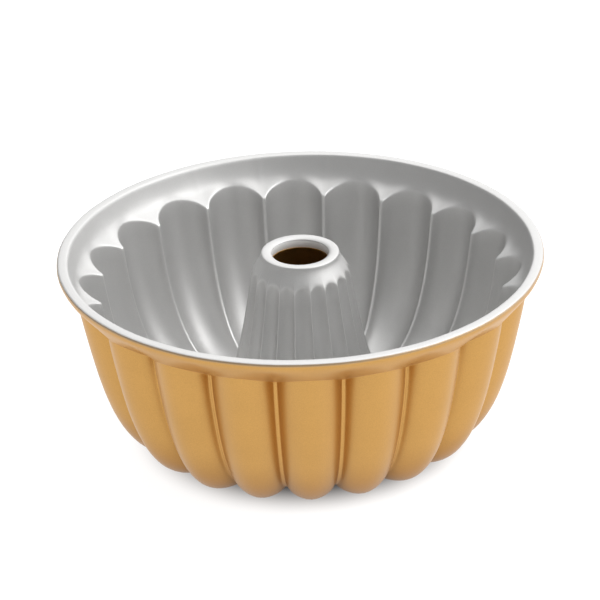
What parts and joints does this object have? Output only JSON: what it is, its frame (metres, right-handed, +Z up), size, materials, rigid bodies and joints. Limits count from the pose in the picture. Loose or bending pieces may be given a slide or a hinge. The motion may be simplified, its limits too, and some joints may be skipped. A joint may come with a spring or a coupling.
{
  "type": "bundt pan",
  "caption": "Fluted ring cake pan: a thick round casting with a hollow fluted centre tube, a flat lip, a grey non-stick inside and a gold outside, for baking a ring cake.",
  "frame": {"origin": "centre of the circle of flats that the pan rests on, at the height of the surface it stands on", "axes": "+Z up along the tube's axis, out of the open top; one flute's middle line lies on +X"},
  "size_m": [0.2598, 0.2598, 0.1072],
  "materials": {
    "cast_aluminium": "satin",
    "nonstick_grey": "satin",
    "gold_coat": "satin"
  },
  "bodies": {
    "root": {"cast_body": "cast_aluminium", "nonstick_lining": "nonstick_grey", "gold_outer_coat": "gold_coat"}
  },
  "joints": []
}
